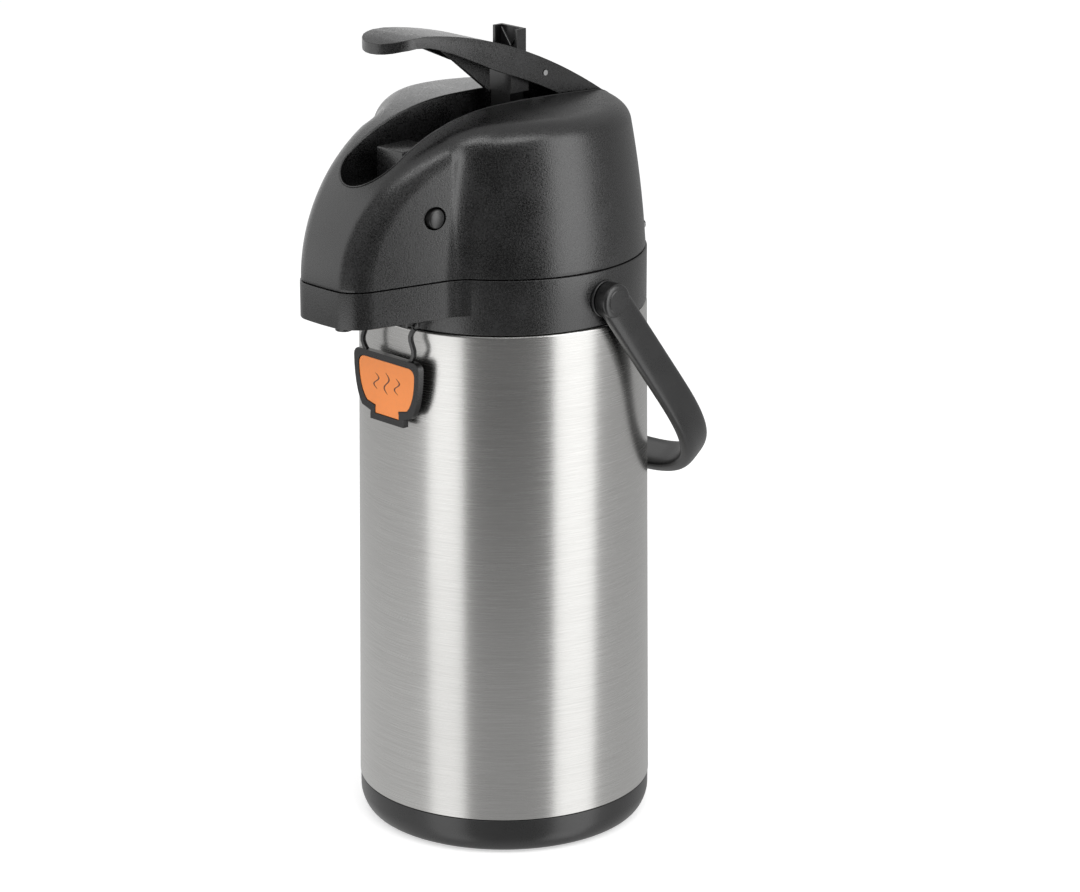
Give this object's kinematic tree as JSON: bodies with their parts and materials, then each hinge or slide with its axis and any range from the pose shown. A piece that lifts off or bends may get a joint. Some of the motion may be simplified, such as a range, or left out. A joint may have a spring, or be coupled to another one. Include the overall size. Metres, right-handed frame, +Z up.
{
  "type": "thermal coffee airpot",
  "caption": "Steel vacuum jug with a hinged pump lid, a press lever, a spout over the front, a swinging carrying handle and a hanging cup-shaped tag.",
  "frame": {"origin": "centre of the rubber foot's rest face, on the jug's axis", "axes": "+Z up the jug's axis, -Y towards the spout, +X to the jug's left as seen from the spout's side; the origin is on the table"},
  "size_m": [0.1692, 0.2196, 0.4317],
  "materials": {
    "grained_plastic": "fine spark-eroded grain, black",
    "satin_plastic": "smooth satin, black",
    "brushed_steel": "fine brushing round the jug",
    "liner_steel": "drawn and electropolished",
    "pin_steel": "bright drawn wire",
    "rubber": "matt black",
    "silicone": "translucent white food silicone",
    "white_plastic": "natural white polypropylene",
    "orange_plastic": "smooth orange"
  },
  "bodies": {
    "jug": {"base_cap": "satin_plastic", "rubber_foot": "rubber", "steel_shell": "brushed_steel", "bottom_plate": "liner_steel", "inner_liner": "liner_steel", "collar_gasket": "rubber", "collar": "grained_plastic", "lid_hinge_pin": "pin_steel", "neck_ring": "white_plastic", "handle_bush_right": "satin_plastic", "handle_bush_left": "satin_plastic", "tag_eye_right": "satin_plastic", "tag_eye_left": "satin_plastic", "stem_holder": "white_plastic", "dip_tube": "white_plastic"},
    "lid": {"lid_cover": "grained_plastic", "lid_screw_1": "pin_steel", "lid_screw_2": "pin_steel", "lid_screw_3": "pin_steel", "lid_screw_4": "pin_steel", "lever_pin": "pin_steel", "guide_bush": "satin_plastic", "pump_housing": "white_plastic", "air_valve": "silicone", "lid_gasket": "silicone", "riser_seal": "silicone", "outlet_pipe": "silicone", "nozzle": "satin_plastic", "bellows": "rubber", "return_spring": "pin_steel"},
    "lever_arm": {"lever": "grained_plastic", "drive_pin": "pin_steel"},
    "rod": {"pump_rod": "satin_plastic", "bellows_plate": "white_plastic"},
    "right_button": {"release_button_right": "satin_plastic", "latch_right": "white_plastic"},
    "left_button": {"release_button_left": "satin_plastic", "latch_left": "white_plastic"},
    "bail": {"handle": "satin_plastic", "handle_rivet_right": "pin_steel", "handle_rivet_left": "pin_steel"},
    "tag": {"tag_frame": "satin_plastic", "tag_insert": "orange_plastic"}
  },
  "joints": [
    {"name": "lid_hinge", "type": "hinge", "parent": "jug", "child": "lid", "pos_m": [0, 0.0782, 0.3109], "axis": [-1, 0, 0], "range_deg": [0, 95]},
    {"name": "lever_hinge", "type": "hinge", "parent": "lid", "child": "lever_arm", "pos_m": [0, 0.051, 0.3745], "axis": [1, 0, 0], "range_deg": [0, 24.5], "stiffness_Nm_per_rad": 1.5, "springref_deg": -20.05},
    {"name": "pump_slide", "type": "slide", "parent": "lid", "child": "rod", "axis": [0, 0, -1], "range_m": [0, 0.0176], "deforming": ["bellows", "return_spring"]},
    {"name": "right_button_press", "type": "slide", "parent": "lid", "child": "right_button", "axis": [-1, 0, 0], "range_m": [0, 0.003], "stiffness_N_per_m": 600, "springref_m": -0.002},
    {"name": "left_button_press", "type": "slide", "parent": "lid", "child": "left_button", "axis": [1, 0, 0], "range_m": [0, 0.003], "stiffness_N_per_m": 600, "springref_m": -0.002},
    {"name": "handle_swing", "type": "hinge", "parent": "jug", "child": "bail", "pos_m": [0, 0, 0.2962], "axis": [1, 0, 0], "range_deg": [0, 142.8]},
    {"name": "tag_swing", "type": "hinge", "parent": "jug", "child": "tag", "pos_m": [0, -0.0803, 0.2879], "axis": [-1, 0, 0], "range_deg": [-2, 35]}
  ],
  "couplings": [
    {"joint": "pump_slide", "follows": "lever_hinge", "m_per_rad": 0.0405}
  ]
}
